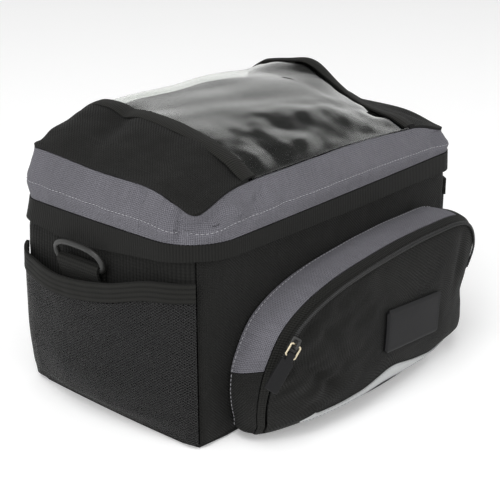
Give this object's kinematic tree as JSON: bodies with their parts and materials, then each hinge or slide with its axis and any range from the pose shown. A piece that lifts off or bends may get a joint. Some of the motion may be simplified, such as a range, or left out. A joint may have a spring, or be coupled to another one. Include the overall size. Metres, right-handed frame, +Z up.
{
  "type": "bicycle handlebar bag",
  "caption": "Box-shaped cloth bicycle handlebar bag with a domed zip lid, clear map window, bulging front pocket, mesh side pockets and strap rings.",
  "frame": {"origin": "middle of the footprint of the whole bag, on the floor it stands on", "axes": "+Z up; the front pocket faces -Y, the handlebar is on +Y, +X is the right-hand side seen from the front"},
  "size_m": [0.3146, 0.2258, 0.1993],
  "materials": {
    "black_cloth": "woven polyester, matt",
    "grey_cloth": "woven polyester, matt",
    "black_tape": "ribbed webbing tape, matt",
    "black_mesh": "knitted net",
    "clear_vinyl": "clear glossy vinyl",
    "black_plastic": "satin moulded plastic",
    "black_rubber": "matt rubber",
    "reflective_grey": "retroreflective tape",
    "brass_wire": "bright wire"
  },
  "bodies": {
    "root": {"front_panel": "black_cloth", "back_panel": "black_cloth", "side_panel_left": "black_cloth", "side_panel_right": "black_cloth", "base_panel": "black_cloth", "lid_band": "grey_cloth", "lid_skirt": "black_tape", "lid_panel_left": "black_cloth", "lid_panel_right": "black_cloth", "map_window": "clear_vinyl", "window_binding_left": "black_tape", "window_binding_right": "black_tape", "mesh_pocket_left": "black_mesh", "mesh_pocket_right": "black_mesh", "pocket_hem_left": "black_tape", "pocket_hem_right": "black_tape", "ring_tab_left": "black_tape", "ring_tab_right": "black_tape", "d_ring_left": "black_plastic", "d_ring_right": "black_plastic", "pocket_gusset_grey": "grey_cloth", "pocket_gusset_black": "black_cloth", "pocket_zip_tape": "black_tape", "pocket_front_panel": "black_cloth", "zip_chain": "black_plastic", "zip_slider": "black_plastic", "pull_loop": "brass_wire", "pull_tab": "black_rubber", "reflective_strip": "reflective_grey", "rubber_label": "black_rubber", "mount_plate": "black_plastic", "mount_block": "black_plastic"}
  },
  "joints": []
}
